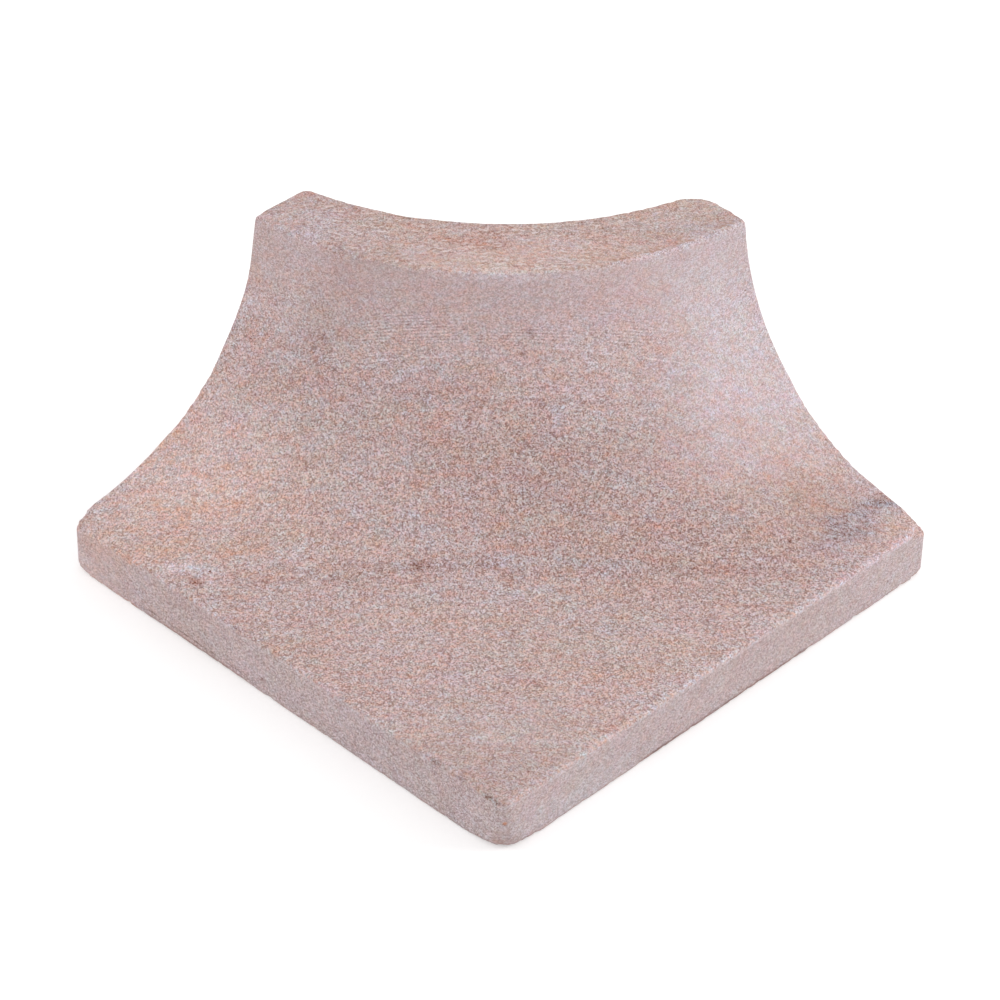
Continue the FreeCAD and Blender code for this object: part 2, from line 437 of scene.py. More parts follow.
def relief(points):
    """How far the faces lie below the plane or curve that they were cut to."""
    drop = np.empty(len(points))
    on_top = np.clip((points[:, 2] - SPLIT_START) / SPLIT_FADE, 0, 1)
    for index, point in enumerate(points):
        wave = sum(drawn_out(point, *pattern) for pattern in GROUND_WAVES)
        grain = noise.noise(Vector(point) / GRAIN_SIZE)
        ground = GROUND_RELIEF * (1 + wave) + GRAIN_RELIEF * (1 + grain)
        if on_top[index] > 0:
            ridges = abs(drawn_out(point, *SPLIT_RIDGES))
            for pattern in SPLIT_LUMPS:
                ridges += drawn_out(point, *pattern)
            to_end = (point[0] + point[1]) / math.sqrt(2) / LIP_HALF_SPAN
            right_end = min(max(to_end, 0.0), 1.0)
            from_left = min((point[0] - LOW.x) / SOUND_LEFT_END, 1.0)
            soundness = SOUND_SHARE + (1 - SOUND_SHARE) * from_left
            split = SPLIT_RELIEF * max(ridges, 0.0) * soundness
            split += LIP_RIGHT_END_DROP * right_end ** 2
            ground += (split - ground) * on_top[index]
        drop[index] = max(ground, 0.0)
    return drop


# How far apart the depths are taken that a slope is read from, and the least steepness
PROBE = 0.01
LEAST_STEEPNESS = 0.25


def settle_on_skin(points):
    """Bring the points of a rough shape onto the worn skin of the stone."""
    points = carried_out(points)
    rounding = arris_rounding(points)
    drop = relief(points)
    for _ in range(SKIN_STEPS):
        depth = skin_depth(points, rounding)
        slope = np.stack([
            (skin_depth(points + PROBE * np.eye(3)[axis], rounding) - depth) / PROBE
            for axis in range(3)], axis=1)
        steepness = np.maximum((slope ** 2).sum(axis=1), LEAST_STEEPNESS)
        points = points + slope * ((drop - depth) / steepness)[:, None]
    return np.clip(points, LOW, HIGH)


def sawn_block():
    """The stone as cut: the frame's solid, its loose triangles merged."""
    mesh = bpy.data.meshes.new("corner_stone")
    block = bmesh.new()
    block.from_mesh(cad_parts["corner_tile"].data)
    bmesh.ops.remove_doubles(block, verts=block.verts, dist=MERGE_GAP)
    block.to_mesh(mesh)
    block.free()
    return mesh


def finished(stone, kind, settings):
    """Give the stone one modifier and keep the mesh that it makes."""
    modifier = stone.modifiers.new(kind.lower(), kind)
    for setting, value in settings.items():
        setattr(modifier, setting, value)
    view = bpy.context.evaluated_depsgraph_get()
    result = bpy.data.meshes.new_from_object(stone.evaluated_get(view))
    stone.modifiers.remove(modifier)
    stone.data = result


stone = bpy.data.objects.new("corner_stone", sawn_block())
bpy.context.scene.collection.objects.link(stone)
finished(stone, "REMESH", {"mode": "VOXEL", "voxel_size": VOXEL, "use_smooth_shade": True})
places = np.empty(len(stone.data.vertices) * 3)
stone.data.vertices.foreach_get("co", places)
places = settle_on_skin(places.reshape(-1, 3) / MM) * MM
stone.data.vertices.foreach_set("co", places.ravel())
stone.data.update()
share = FACE_LIMIT / (2 * len(stone.data.polygons))
if share < 1:
    finished(stone, "DECIMATE", {"ratio": share})
stone.data.shade_smooth()

# Finish of the stone: sand grains of quartz, stained feldspar and dark ore, packed in
# beds that stand nearly upright and strike from the left corner to the right one
STRIKE_TURN = (0.0, 0.0, -math.pi / 4)
BODY = rgb(195, 170, 167)
DARK_GRAIN = (0.60, 0.50, 0.465, 1.0)
LIGHT_GRAIN = (1.40, 1.50, 1.535, 1.0)
BLEACHED = (0.98, 1.26, 1.42, 1.0)
STAINED = (1.02, 0.75, 0.60, 1.0)
SALLOW = (0.96, 1.10, 0.94, 1.0)
ROSY = (1.04, 0.90, 1.06, 1.0)

# How many grains fit across the beds and upward where one fits along them; by which
# power of its stretch a cloudy pattern is also drawn out upward, and how rough it is
GRAIN_SHAPE = (0.8, 1.1)
UPWARD_STRETCH = 0.2
SAND_ROUGHNESS = 0.6

# Single grains: size in millimetres, then how much they lighten, stain and redden
GRAINS = [
    (0.58, 1.10, 0.18, 0.20),
    (1.20, 0.06, 0.26, 0.20),
]

# Sand in bands, from small spots to clouds as broad as a thumb: size in millimetres, how
# far drawn out along the strike, then how much it lightens, stains and reddens. A stain
# also lightens by a share of its strength, because its colour alone would be too dark.
BANDS = [
    (0.85, 1.0, 0.26, 0.06, 0.08),
    (2.1, 1.35, 0.06, 0.48, 0.20),
    (4.4, 1.8, 0.06, 0.45, 0.25),
    (9.0, 2.3, 0.06, 0.30, 0.22),
    (22.0, 2.6, 0.06, 0.18, 0.16),
]
STAIN_LIFT = 0.16

# A soft patch is full over the first fifth of the way from its middle to its edge. A
# cloud's edge lies so many half sizes out, and narrow clouds keep an even edge.
BALL_FULL = 0.8
CLOUD_REACH = 1.6
EVEN_WIDTH = 4
EVERY_HEIGHT = 1e5
FACE_SHAKE = 24
FACE_SHAKE_UP = 14

# Clouds of the beds: along the strike, towards the back corner, half length, half
# width and turn in degrees, then how much it lightens, stains and reddens
CLOUDS = {
    "pale crown of the cove": (18, 47, 80, 22, 0, 0.16, -0.04, 0.05),
    "pale right edge": (118, 74, 38, 34, 35, 0.07, -0.15, 0.01),
    "pale right cove": (132, 38, 42, 30, 25, 0.14, -0.02, 0.04),
    "pale band under the lip": (78, 62, 52, 9, 14, 0.07, -0.02, 0.0),
    "pale left sweep": (-160, 32, 50, 30, -20, 0.19, 0.08, -0.01),
    "dull left cove": (-97, 54, 36, 16, 0, -0.03, -0.03, 0.0),
    "brown heart": (12, -2, 40, 18, 0, -0.07, 0.02, 0.02),
    "brown right slab": (85, -30, 85, 34, 0, -0.12, -0.01, -0.01),
    "dull outer corner": (-10, -186, 34, 24, 0, -0.09, -0.06, -0.02),
    "rust of the left wing": (-155, -6, 60, 28, 0, 0.11, 0.12, -0.03),
    "rust bed, left": (-158, -27, 40, 5, 0, 0.04, 0.18, -0.02),
    "rust knot, left": (-127, -29, 14, 5, 0, -0.05, 0.06, -0.06),
    "dark bed, left": (-54, -46, 62, 6, 0, -0.09, 0.05, -0.03),
    "grey bed, middle": (10, -43, 62, 3, 1, -0.03, -0.16, 0.0),
    "dark bed, right": (100, -42, 60, 5, 6, -0.06, 0.04, 0.0),
    "rust by the right corner": (154, 8, 26, 18, 0, -0.08, 0.12, -0.07),
    "pale mid slab": (28, -92, 70, 26, 0, 0.0, 0.01, -0.06),
    "dark heart of the smudge": (190, 17, 7, 3, 30, -0.20, 0.05, 0.0),
    "beige corner": (197, -6, 9, 6, 45, 0.09, 0.11, -0.11),
    "pale chip patch": (-156, -39, 12, 4, 0, 0.17, -0.20, 0.04),
    "white slab patch": (-4, -164, 10, 4, 0, 0.12, -0.02, -0.04),
    "brown spot by the chip": (-148, -50, 3.5, 2.4, 0, -0.36, 0.30, 0.0),
    "dark spot": (-39, -45, 5, 3, 0, -0.24, 0.06, 0.0),
    "brown spots, left cove": (-88, 50, 7, 5, 0, -0.08, 0.07, -0.01),
    "pale left end of the lip": (-98, 80, 26, 17, 0, 0.06, -0.07, 0.04),
    "rust on the lip": (-10, 69, 15, 6, 0, -0.12, 0.14, 0.04),
    "brown back of the lip": (22, 74, 110, 7, 0, 0.03, -0.02, 0.03),
}

# Parts of the top where the sand is finer and calmer: place, half sizes and turn as
# above, then how much of the pattern goes
CALM = {
    "right cove": (128, 45, 62, 40, 25, 0.36),
    "outer corner": (0, -185, 66, 44, 0, 0.26),
    "under the lip": (-20, 56, 100, 10, 0, 0.16),
    "right corner": (170, 0, 36, 28, 0, 0.24),
}

# Patches of the outer faces: place in the stone's own millimetres, half size to the
# right, back and up, then how much they lighten and stain
FACE_DEPTH = 40.0
FACE_PATCHES = {
    "pale foot, left corner": (-147, LOW.y, 4, 34, FACE_DEPTH, 14, 0.14, -0.04),
    "rusty left end": (-128, LOW.y, 24, 40, FACE_DEPTH, 12, 0.02, 0.10),
    "rusty upper left": (-60, LOW.y, 22, 44, FACE_DEPTH, 10, -0.03, 0.10),
    "brown foot, left": (-70, LOW.y, 4, 44, FACE_DEPTH, 9, -0.02, 0.09),
    "dull upper front": (100, LOW.y, 26, 80, FACE_DEPTH, 12, -0.05, 0.0),
    "pale foot, outer corner": (HIGH.x, -100, 4, FACE_DEPTH, 70, 15, 0.04, -0.10),
    "dull foot, right": (HIGH.x, 14, 0, FACE_DEPTH, 60, 7, -0.11, 0.0),
    "dull upper right": (HIGH.x, 40, 22, FACE_DEPTH, 80, 14, -0.04, 0.03),
    "pale right end": (HIGH.x, 134, 4, FACE_DEPTH, 34, 13, 0.04, 0.0),
}

# Small marks, as above: painted shade in the notches of the front top arris, the rubbed
# upright edge of the outer corner and a red grain on it
MARKS = [
    (105, LOW.y + 0.8, 29.2, 5.0, 1.7, 1.6, -0.36, -0.20),
    (122, LOW.y + 0.8, 29.2, 5.0, 1.7, 1.6, -0.34, -0.20),
    (139, LOW.y + 0.8, 29.2, 4.4, 1.8, 1.8, -0.42, -0.20),
    (145, LOW.y + 1.2, 29.0, 3.2, 1.8, 1.8, -0.38, -0.16),
    (-31, LOW.y + 0.8, 29.2, 5.0, 1.5, 1.4, -0.36, -0.18),
    (149, -149, 10, 4.2, 4.2, 22, 0.12, -0.08),
    (148, -147.4, 18, 1.8, 1.8, 1.8, -0.04, 0.9),
]

# Dark spots of the cove and the slab: along the strike, towards the back corner, half
# length, half width, how much they darken
SPOTS = [
    (-11, 34, 2.0, 0.8, 0.22),
    (14, 35, 1.6, 0.8, 0.34),
    (10, 31, 1.0, 0.5, 0.22),
    (61, 41, 1.6, 0.8, 0.32),
    (-88, 51, 1.8, 0.8, 0.20),
    (-36, 24, 2.4, 0.6, 0.16),
    (142, -19, 1.0, 1.0, 0.50),
    (116, -54, 0.9, 0.9, 0.50),
]

# Saw passes: the blade left shallow arcs across the cove, and some of them show as pale
# scores with a dark line in front: place of the pass towards the back corner, from and
# to along the strike, half width, how much it lightens. An arc bends back by its
# distance from its middle, squared, over the bow.
SAW_BOW = 600.0
SCORES = [
    (30.6, -66, -22, 0.18, 0.30),
    (32.2, 18, 88, 0.20, 0.24),
    (21.5, -20, 75, 0.9, 0.10),
    (12.0, 10, 66, 0.5, 0.06),
]

# A set of fine scores above them, evenly spaced in height: each falls away from its
# middle; from, to and fade in height and along the strike
FINE_SCORE_BOW = 470.0
FINE_SCORE_PITCH = 1.5
FINE_SCORE_HEIGHTS = (114, 130, 4.0)
FINE_SCORE_STRETCH = (-70, 78, 14)
FINE_SCORE_LIGHTENS = 0.22

# Dark specks of ore, in millimetres
SPECK_SPACING = 12.0
SPECK_RADIUS = 0.9
SPECK_EDGE = 1.4
SPECK_DARKENS = 0.36

# Rust dashes on the lip's front edge: from and to along the strike
SEAM_DASHES = [(31, 43), (50, 61), (69, 78), (84, 92), (106, 116)]

# Colours of the split lip and of the painted shade in front of its flakes, of its white
# flecks with painted highlight, and of the broken lower arris with its painted groove shade
LIP_TAN = (1.09, 1.01, 0.87, 1.0)
LIP_RUST = rgb(172, 134, 116)
LIP_SHADE = rgb(158, 124, 112)
FLECK_AND_HIGHLIGHT_WHITE = rgb(226, 211, 210)
UNDERCUT_BROWN = rgb(150, 112, 100)
UNDERCUT_SHADE = rgb(104, 80, 74)

stone_finish = bpy.data.materials.new("rose_sandstone")
finish = Finish(stone_finish)
place = finish.node("ShaderNodeTexCoord", {}, {}, "Object")
beds = finish.node("ShaderNodeMapping", {"vector_type": "POINT"}, {
    "Vector": place, "Rotation": STRIKE_TURN, "Scale": (1 / MM, 1 / MM, 1 / MM)})
own_mm = finish.node("ShaderNodeVectorMath", {"operation": "SCALE"}, {0: place, "Scale": 1 / MM})
along, back, height = (
    finish.node("ShaderNodeSeparateXYZ", {}, {"Vector": beds}, axis) for axis in "XYZ")
to_right, to_back = (
    finish.node("ShaderNodeSeparateXYZ", {}, {"Vector": own_mm}, axis) for axis in "XY")
facing = finish.node("ShaderNodeNewGeometry", {}, {}, "Normal")
level = finish.node("ShaderNodeSeparateXYZ", {}, {"Vector": facing}, "Z")


def scaled(coordinates, scale, shift):
    """Coordinates of a pattern of another scale, moved to a place of its own."""
    return finish.node("ShaderNodeVectorMath", {"operation": "MULTIPLY_ADD"}, {
        0: coordinates, 1: scale, 2: shift})


def bedded(size, stretch, seed, forward=0.0):
    """Coordinates of a pattern of one size, drawn out along the strike, a little upward
    and moved forward by some millimetres."""
    return scaled(beds, (1 / (size * stretch), 1 / size, 1 / (size * stretch ** UPWARD_STRETCH)),
                  (seed, seed + forward / size, seed))


def sand(size, stretch=1.0, seed=0.0, detail=0.0, forward=0.0):
    """Cloudy pattern about 0, with more or fewer finer layers in it."""
    return finish.node("ShaderNodeTexNoise", {"noise_dimensions": "3D"}, {
        "Vector": bedded(size, stretch, seed, forward), "Scale": 1.0, "Detail": detail,
        "Roughness": SAND_ROUGHNESS}) - 0.5


def about_zero(colour):
    """The three channels of a pattern in colour, each about 0."""
    return [finish.node("ShaderNodeSeparateColor", {}, {"Color": colour}, channel) - 0.5
            for channel in ("Red", "Green", "Blue")]


def coloured_sand(size, stretch, seed):
    """Three cloudy patterns at once."""
    return about_zero(finish.node("ShaderNodeTexNoise", {"noise_dimensions": "3D"}, {
        "Vector": bedded(size, stretch, seed), "Scale": 1.0, "Detail": 0.0}, "Color"))


def grain(size, seed):
    """Single grains of one size: three patterns, with one value for each grain."""
    across, upward = GRAIN_SHAPE
    point = scaled(beds, (1 / size, across / size, upward / size), (seed, seed, seed))
    return about_zero(finish.node("ShaderNodeTexVoronoi", {"voronoi_dimensions": "3D"}, {
        "Vector": point, "Scale": 1.0}, "Color"))


def speck(spacing, radius):
    """Sparse specks with uneven edges: 1 inside a speck, 0 outside."""
    gap = finish.node("ShaderNodeTexVoronoi", {"voronoi_dimensions": "3D"}, {
        "Vector": beds, "Scale": 1 / spacing}, "Distance") * spacing
    return 1 - (gap + sand(SPECK_EDGE, 1.0, spacing) * radius).soft_ramp(0.5 * radius, radius)


def soft_ball(coordinates, centre, turn, reach):
    """1 around a centre, falling softly to 0 on an ellipsoid around it."""
    point = finish.node("ShaderNodeMapping", {"vector_type": "TEXTURE"}, {
        "Vector": coordinates, "Location": centre, "Rotation": (0.0, 0.0, math.radians(turn)),
        "Scale": reach})
    ball = finish.node("ShaderNodeTexGradient", {"gradient_type": "SPHERICAL"}, {"Vector": point}, 1)
    return ball.soft_ramp(0.0, BALL_FULL)


def cloud(along_mm, back_mm, length, width, turn):
    """A soft patch of a bed, the same at every height; only small ones have an even edge."""
    return soft_ball(ragged if width > EVEN_WIDTH else beds, (along_mm, back_mm, 0.0), turn,
                     (length * CLOUD_REACH, width * CLOUD_REACH, EVERY_HEIGHT))


def held(amount, floor=0.0, ceiling=1.0):
    """A field held between two values."""
    return amount.above(floor).below(ceiling)


def between(field, start, end, fade):
    """1 between two places, 0 outside them, with a soft end at both."""
    return field.soft_ramp(start - fade, start + fade) * (1 - field.soft_ramp(end - fade, end + fade))


def mixed(factor, first, second, blend="MIX"):
    """One colour laid over another."""
    return finish.node("ShaderNodeMix", {
        "data_type": "RGBA", "blend_type": blend, "clamp_factor": False},
        {0: factor, 6: first, 7: second}, 2)


def mixed_number(factor, first, second):
    """One number faded into another."""
    return finish.node("ShaderNodeMix", {"data_type": "FLOAT"}, {0: factor, 2: first, 3: second})


def laid(patch, change, earlier):
    """What the patches change so far, with one more patch on top."""
    share = finish.node("ShaderNodeVectorMath", {"operation": "SCALE"}, {0: change, "Scale": patch})
    return finish.node("ShaderNodeVectorMath", {"operation": "ADD"}, {0: share, 1: earlier})


def moved(coordinates, size, along_mm, back_mm, seed):
    """Coordinates shaken a little, so that what is placed on them has ragged edges."""
    shake = finish.node("ShaderNodeCombineXYZ", {}, {
        0: sand(size, 1.5, seed, 2) * along_mm, 1: sand(size, 1.5, seed + 55.5, 2) * back_mm,
        2: 0.0})
    return finish.node("ShaderNodeVectorMath", {"operation": "ADD"}, {0: coordinates, 1: shake})


ragged = moved(beds, size=14, along_mm=50, back_mm=24, seed=5.5)
own_shake = sand(6, 1.0, 9.5, 1) * FACE_SHAKE
own_ragged = finish.node("ShaderNodeVectorMath", {"operation": "ADD"}, {
    0: own_mm, 1: finish.node("ShaderNodeCombineXYZ", {}, {
        0: own_shake, 1: own_shake, 2: sand(6, 1.0, 75.0, 1) * FACE_SHAKE_UP})})

# Where the stone is what, in millimetres unless a name says slope: the slope is 0 on
# upright faces and 1 on level ones. A stretch is from, to and fade.
UPRIGHT_SLOPE = (0.02, 0.25)
SPLIT_SLOPE = (0.3, 0.8)
COARSE_SLOPE = (0.15, 0.55)
SLAB_TOP = (SLAB, SLAB + 4)
SPLIT_TOP = (HIGH.z - 3.5, HIGH.z - 1.2)
COVE_START = (34, 60)
COVE_END = (143, 148)
RUSTY_LEFT_END = (LOW.x - 5, -112, 14)
RUSTY_SHARE = 0.6
LIP_DIP = (52, 118, 14)
LIP_DIP_DEPTH = 3.0
LIP_RAGGED = 5
LIP_FADE = (-1.5, 0.5)
FRONT_FACE = (2.0, 1.0)
STEEP_SHARE = 0.65

# Its outer faces, the split top of the lip, the cove
upright = 1 - level.maths("ABSOLUTE", level).soft_ramp(*UPRIGHT_SLOPE)
rusty_end = between(to_right, *RUSTY_LEFT_END)
outer = upright * (1 - height.soft_ramp(*SLAB_TOP)) * (1 - rusty_end * RUSTY_SHARE)
top = 1 - outer
split = height.soft_ramp(*SPLIT_TOP) * level.soft_ramp(*SPLIT_SLOPE)
on_cove = height.soft_ramp(*COVE_START) * (1 - height.soft_ramp(*COVE_END))
lip_front = finish.node("ShaderNodeVectorMath", {"operation": "DISTANCE"}, {
    0: finish.node("ShaderNodeCombineXYZ", {}, {0: to_right, 1: to_back, 2: 0.0}),
    1: (BACK_CORNER.x, BACK_CORNER.y, 0.0)}, "Value") * -1 + LIP_EDGE_RADIUS
lip_front = lip_front - between(along, *LIP_DIP) * LIP_DIP_DEPTH
on_lip = split * (lip_front + sand(3.0, 2.0, 13.0, 1) * LIP_RAGGED).soft_ramp(*LIP_FADE)

# Steep skin is plainer than level skin, and some parts of the beds are calmer
front_face = outer * (to_back - LOW.y).ramp(*FRONT_FACE)
coarse = level.soft_ramp(*COARSE_SLOPE) * (1 - STEEP_SHARE) + STEEP_SHARE
streaks = sand(1.1, 8.0, 42.0)
calm = 1.0
for along_mm, back_mm, length, width, turn, calms in CALM.values():
    calm = calm * (1 - cloud(along_mm, back_mm, length, width, turn) * calms)
calm = mixed_number(outer, calm, 1.0)

# Three scales carry the colour: from dark to light, bleached to stained, sallow to rosy.
# Each has its middle; then how much stronger or weaker the pattern is on each part.
LIGHTNESS_MIDDLE = 0.516
STAIN_MIDDLE = 0.498
REDNESS_MIDDLE = 0.506
OUTER_LIGHTER = 0.02
OUTER_CLEANER = 0.13
FRONT_LIVELIER = 0.2
LIP_CALMER = 0.24
UPRIGHT_CALMER = 0.2
STAIN_CALM_SHARE = 0.5
STREAKS_LIGHTEN = 0.14
STREAKS_LIGHTEN_LESS_ON_LIP = 0.10
STREAKS_STAIN = 0.20
STREAKS_STAIN_LESS_ON_LIP = 0.14

lightness = 0.0
stain = 0.0
redness = 0.0
for number, (size, lightens, stains, reddens) in enumerate(GRAINS):
    light, brown, red = grain(size, 11.7 * number)
    lightness = light * lightens + lightness
    stain = brown * stains + stain
    redness = red * reddens + redness
for number, (size, stretch, lightens, stains, reddens) in enumerate(BANDS):
    light, brown, red = coloured_sand(size, stretch, 7.3 * number)
    lightness = light * lightens + brown * (stains * STAIN_LIFT) + lightness
    stain = brown * stains + stain
    redness = red * reddens + redness
liveliness = coarse * calm - LIP_CALMER * on_lip + FRONT_LIVELIER * front_face
lightness = lightness * liveliness + LIGHTNESS_MIDDLE + outer * OUTER_LIGHTER
lightness = streaks * (STREAKS_LIGHTEN - STREAKS_LIGHTEN_LESS_ON_LIP * on_lip) + lightness
calm = calm * STAIN_CALM_SHARE + (1 - STAIN_CALM_SHARE)
liveliness = coarse * calm - UPRIGHT_CALMER * upright
stain = stain * liveliness + STAIN_MIDDLE - outer * OUTER_CLEANER
stain = streaks * (STREAKS_STAIN * coarse - STREAKS_STAIN_LESS_ON_LIP * on_lip) + stain
redness = redness * coarse + REDNESS_MIDDLE
on_top = on_faces = anywhere = (0.0, 0.0, 0.0)
for along_mm, back_mm, length, width, turn, lightens, stains, reddens in CLOUDS.values():
    on_top = laid(cloud(along_mm, back_mm, length, width, turn), (lightens, stains, reddens), on_top)
for along_mm, back_mm, length, width, darkens in SPOTS:
    on_top = laid(cloud(along_mm, back_mm, length, width, 0), (-darkens, 0.0, 0.0), on_top)
for x, y, z, right_reach, back_reach, up_reach, lightens, stains in FACE_PATCHES.values():
    patch = soft_ball(own_ragged, (x, y, z), 0.0, (right_reach, back_reach, up_reach))
    on_faces = laid(patch, (lightens, stains, 0.0), on_faces)
for x, y, z, right_reach, back_reach, up_reach, lightens, stains in MARKS:
    mark = soft_ball(own_mm, (x, y, z), 0.0, (right_reach, back_reach, up_reach))
    anywhere = laid(mark, (lightens, stains, 0.0), anywhere)
patches = laid(top, on_top, laid(upright, on_faces, anywhere))
lightness = lightness + finish.node("ShaderNodeSeparateXYZ", {}, {"Vector": patches}, "X")
stain = stain + finish.node("ShaderNodeSeparateXYZ", {}, {"Vector": patches}, "Y")
redness = redness + finish.node("ShaderNodeSeparateXYZ", {}, {"Vector": patches}, "Z")
lightness = lightness - speck(SPECK_SPACING, SPECK_RADIUS) * SPECK_DARKENS

# A smudge of blue-grey sand with dark streaks in it, by the right corner; its place is
# given as that of a cloud
SMUDGE_PLACE = (176, 1, 28, 9, 48)
SMUDGE_STREAKS = 0.6
SMUDGE_DARKENS = 0.26
SMUDGE_SPOTS = 1.2
SMUDGE_CLEANS = 0.33
SMUDGE_REDDENS = 0.08

smudge = cloud(*SMUDGE_PLACE)
lightness = lightness + smudge * (sand(2.4, 2.4, 95.0) * SMUDGE_STREAKS - SMUDGE_DARKENS)
stain = stain + smudge * (sand(5.0, 1.8, 97.0, 1) * SMUDGE_SPOTS - SMUDGE_CLEANS)
redness = redness + smudge * SMUDGE_REDDENS

# Scores of the saw on the cove, broken here and there
SCORE_WANDERS = 0.5
SCORE_END_FADE = 14
DARK_LINE_SHARE = 0.6

passes = back - along ** 2 / SAW_BOW
wandering = passes + sand(30, 3.0, 19.0) * SCORE_WANDERS
broken = held(sand(9, 4.0, 77.0, 1) * 3 + 0.6) * on_cove
for pass_place, start, end, half_width, lightens in SCORES:
    off_pass = wandering - pass_place
    pale = 1 - off_pass.maths("ABSOLUTE", off_pass).ramp(0.5 * half_width, 1.5 * half_width)
    off_pass = off_pass + 2 * half_width
    dark = 1 - off_pass.maths("ABSOLUTE", off_pass).ramp(0.5 * half_width, 1.5 * half_width)
    line = (pale - dark * DARK_LINE_SHARE) * between(along, start, end, SCORE_END_FADE) * lightens
    lightness = line * broken + lightness
score_height = height + along ** 2 / FINE_SCORE_BOW
off_score = score_height.maths("PINGPONG", score_height, FINE_SCORE_PITCH / 2)
fine = 1 - off_score.ramp(0.0, FINE_SCORE_PITCH / 2) * 2
fine = fine * between(score_height, *FINE_SCORE_HEIGHTS) * between(along, *FINE_SCORE_STRETCH)
lightness = fine * broken * FINE_SCORE_LIGHTENS + lightness

# The split lip: thin flakes stand up along its beds, pale on top with painted highlight and
# darkened in front with painted shade
FLAKY_STRETCH = (-94, 62, 24)
LEAST_FLAKY = 0.25
FLAKE_PAINTED_LIGHT_AND_SHADE = 1.4
LIP_DARKENS = 0.04
SHADE_FORWARD = 1.2

flaky_stretch = between(along, *FLAKY_STRETCH) * (1 - LEAST_FLAKY) + LEAST_FLAKY
flaky = flaky_stretch * held(sand(9, 1.6, 51.0, 1) * 4 + 0.62, 0.15)
flakes = sand(1.8, 1.9, 57.0, 2)
shaded = sand(1.8, 1.9, 57.0, 1, SHADE_FORWARD)
lightness = lightness + on_lip * (flaky * flakes * FLAKE_PAINTED_LIGHT_AND_SHADE - LIP_DARKENS)

# Its front edge: browned on the right, with pale fresh chips in the middle
BROWNED_STRETCH = (22, 124, 16)
BROWNED_DEPTH = (8, 20)
BROWNED_DARKENS = 0.08
BROWNED_STAINS = 0.03
CHIPPED_STRETCH = (-40, 40, 8)
CHIPPED_HEIGHT = (HIGH.z - 6.5, HIGH.z - 3.5)
CHIPPED_DEPTH = (0.5, 2.5)
CHIPS_LIGHTEN = 0.16
CHIPS_CLEAN = 0.14

browned = on_lip * between(along, *BROWNED_STRETCH) * (1 - lip_front.soft_ramp(*BROWNED_DEPTH))
lightness = lightness - browned * BROWNED_DARKENS
stain = stain + browned * BROWNED_STAINS
chip_zone = between(along, *CHIPPED_STRETCH)
chip_zone = chip_zone * (height + sand(3, 2.0, 29.0, 1) * 9).soft_ramp(*CHIPPED_HEIGHT)
chip_zone = chip_zone * (1 - (lip_front + sand(3, 2.0, 33.0) * 4).soft_ramp(*CHIPPED_DEPTH))
chips = chip_zone * held(sand(3.2, 2.2, 91.0, 2) * 4 + 0.55)
lightness = lightness + chips * CHIPS_LIGHTEN
stain = stain - chips * CHIPS_CLEAN

# The slab's top arrises: chipped grain by grain on the right, in places on the front;
# more so towards the right corner
FRAYED_HEIGHTS = (SLAB - 2.5, SLAB + 8, 0.8)
FRAYED_RIGHT = (1.8, 4.8)
FRAYED_FRONT = (1.0, 3.4)
RUBBED_RIGHT = (0.8, 2.0)
RIGHT_END = (40, 110)
RIGHT_END_MORE = 0.6
FRONT_SHARE = 0.8
FRAYED_LIGHTENS = 0.12
RUBBED_LIGHTENS = 0.06
FRAYED_STAINS = 0.9
FRAYED_CLEANS = 0.06
FRAYED_REDDENS = 0.28

near_top = between(height, *FRAYED_HEIGHTS)
off_right = (to_right * -1 + HIGH.x + sand(3.0, 1.4, 17.0, 2) * 9).soft_ramp(*FRAYED_RIGHT)
off_front = (to_back - LOW.y + sand(3.0, 1.4, 21.0, 2) * 7).soft_ramp(*FRAYED_FRONT)
worn = held(sand(9, 1.0, 23.0, 1) * 4 + 0.55)
frayed = ((1 - off_right) * (0.5 + 0.5 * worn)).above((1 - off_front) * worn * FRONT_SHARE)
frayed = near_top * frayed
rubbed = near_top * (1 - (to_right * -1 + HIGH.x + sand(2.0, 1.0, 27.0) * 2).soft_ramp(*RUBBED_RIGHT))
right_end = to_back.soft_ramp(*RIGHT_END) * RIGHT_END_MORE + 1
lightness = lightness + (frayed * FRAYED_LIGHTENS + rubbed * RUBBED_LIGHTENS) * right_end
stain = stain + frayed * (sand(1.7, 1.5, 63.0) * FRAYED_STAINS - FRAYED_CLEANS)
redness = redness + frayed * (right_end - 1) * FRAYED_REDDENS

colour = mixed(1.0, BODY, mixed(lightness, DARK_GRAIN, LIGHT_GRAIN), "MULTIPLY")
colour = mixed(1.0, colour, mixed(stain, BLEACHED, STAINED), "MULTIPLY")
colour = mixed(1.0, colour, mixed(redness, SALLOW, ROSY), "MULTIPLY")

# Colours of the lip: tan in its middle, rust along some beds, dashes of rust on its edge;
# then painted shade in front of its flakes and white flecks with painted highlight on top
TAN_STRETCH = (-76, 110, 24)
TAN_IN_MIDDLE = 0.66
TAN_SHARE = 0.7
MOST_RUST = 0.8
RUST_ON_FLAKES = 0.7
SEAM_RAGGED = 8
SEAM_FADE = 2.5
SEAM_DEPTH = (1.0, 3.6)
MOST_SEAM = 0.7
MOST_SHADE = 0.35
MOST_FLECK_AND_HIGHLIGHT = 0.8

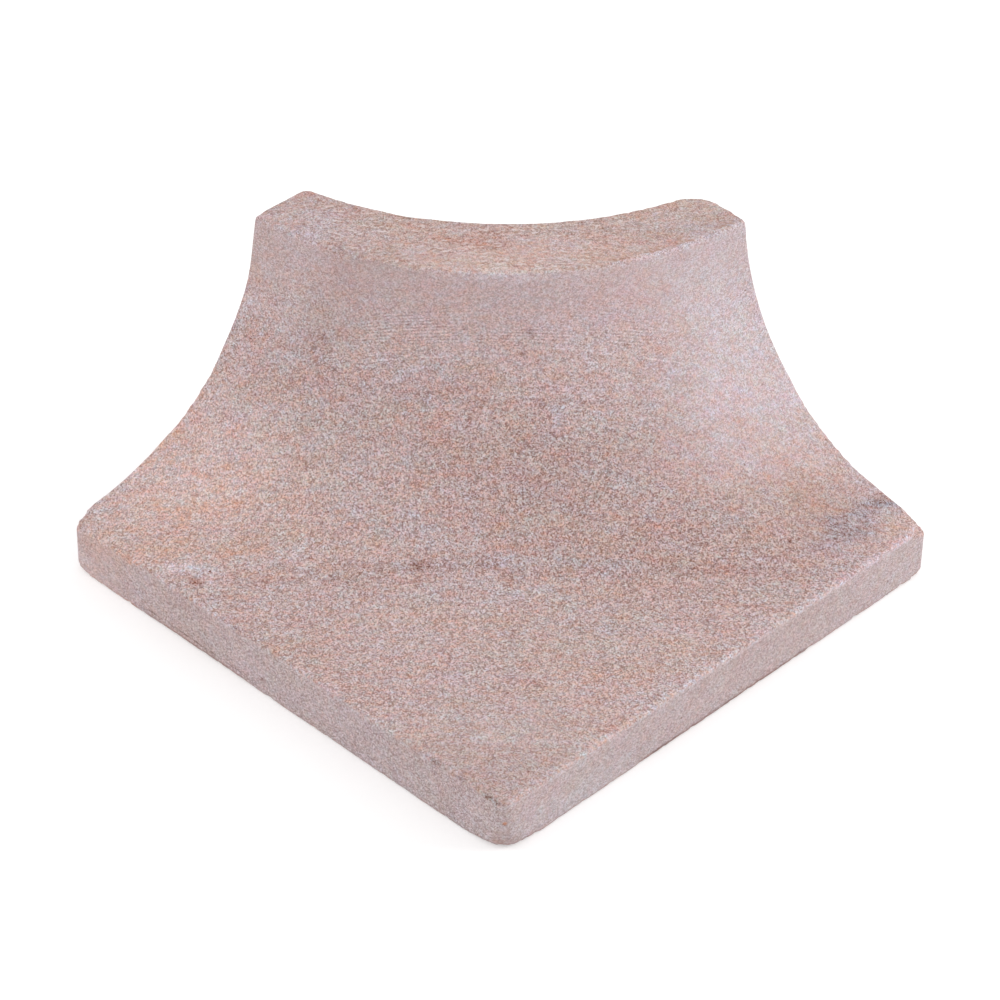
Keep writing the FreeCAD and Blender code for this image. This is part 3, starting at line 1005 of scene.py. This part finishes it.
tan = held(sand(12, 2.4, 35.0, 2) * 1.4 - 0.1 + between(along, *TAN_STRETCH) * TAN_IN_MIDDLE)
colour = mixed(1.0, colour, mixed(on_lip * tan * TAN_SHARE, WHITE, LIP_TAN), "MULTIPLY")
rust = held(sand(2.6, 2.2, 31.0, 2) * 3.6 - 0.42, 0.0, MOST_RUST)
rust = rust * (flaky * RUST_ON_FLAKES + (1 - RUST_ON_FLAKES))
seam = 0.0
ragged_along = along + sand(2, 1.0, 45.0) * SEAM_RAGGED
for start, end in SEAM_DASHES:
    seam = between(ragged_along, start, end, SEAM_FADE) + seam
seam = seam * (1 - (lip_front + sand(2.5, 1.4, 39.0, 1) * 10).soft_ramp(*SEAM_DEPTH))
seam = seam * held(sand(1.6, 1.6, 49.0, 1) * 6 + 0.5, 0.0, MOST_SEAM)
colour = mixed(on_lip * rust.above(seam), colour, LIP_RUST)
colour = mixed(on_lip * flaky * held(shaded * 10 - 0.9, 0.0, MOST_SHADE), colour, LIP_SHADE)
colour = mixed(on_lip * flaky * held(flakes * 10 - 0.7, 0.0, MOST_FLECK_AND_HIGHLIGHT), colour, FLECK_AND_HIGHLIGHT_WHITE)

# The lower arris, broken away in two stretches: brown, with a thin dark line of painted
# shade along its top, where the break steps in
BREAK_RIGHT = (-56, 62, 5)
BREAK_FRONT = (-96, -24, 5)
BREAK_DEPTH = (3, 2)
BREAK_RAGGED = 1.8
BREAK_HEIGHT = (1.8, 2.8)
GROOVE_SHADE_HEIGHT = 1.8
GROOVE_SHADE_HIGHER_IN_FRONT = 2.6
GROOVE_SHADE_WIDTH = (0.1, 0.6)
BROWN_SHARE = 0.4
GROOVE_SHADE_SHARE = 0.7

break_line = height + sand(5, 1.0, 83.0, 2) * BREAK_RAGGED
deep, shallow = BREAK_DEPTH
on_right = between(to_back, *BREAK_RIGHT) * to_right.ramp(HIGH.x - deep, HIGH.x - shallow)
on_front = between(to_right, *BREAK_FRONT) * (to_back * -1).ramp(-LOW.y - deep, -LOW.y - shallow)
under = on_right.above(on_front)
off_groove_shade = break_line - GROOVE_SHADE_HEIGHT - on_front * GROOVE_SHADE_HIGHER_IN_FRONT
groove_shade = under * (1 - off_groove_shade.maths("ABSOLUTE", off_groove_shade).ramp(*GROOVE_SHADE_WIDTH))
groove_shade = groove_shade * held(sand(4, 3.0, 87.0, 2) * 4 + 0.55)
browned = under * (1 - break_line.soft_ramp(*BREAK_HEIGHT)) * BROWN_SHARE
colour = mixed(browned, colour, UNDERCUT_BROWN)
colour = mixed(groove_shade * GROOVE_SHADE_SHARE, colour, UNDERCUT_SHADE)

# Relief of the grain and of the lip's flakes, in metres; light grains are a little glossier
GRAIN_RISE = 0.00016
FLAKE_RISE = 0.0004
MATT = 0.88
LIGHT_GLOSSIER = 0.1

rise = sand(0.9, 1.2, 43.0, 2) * coarse * GRAIN_RISE + split * flaky_stretch * flakes * FLAKE_RISE
bump = finish.node("ShaderNodeBump", {}, {"Height": rise, "Distance": 1.0, "Strength": 1.0})
finish.shader("Principled BSDF", {
    "Base Color": colour, "Roughness": MATT - lightness * LIGHT_GLOSSIER,
    "Normal": bump, "Specular IOR Level": 0.3})
stone.data.materials.clear()
stone.data.materials.append(stone_finish)

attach(stone, "root")
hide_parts("corner_tile")
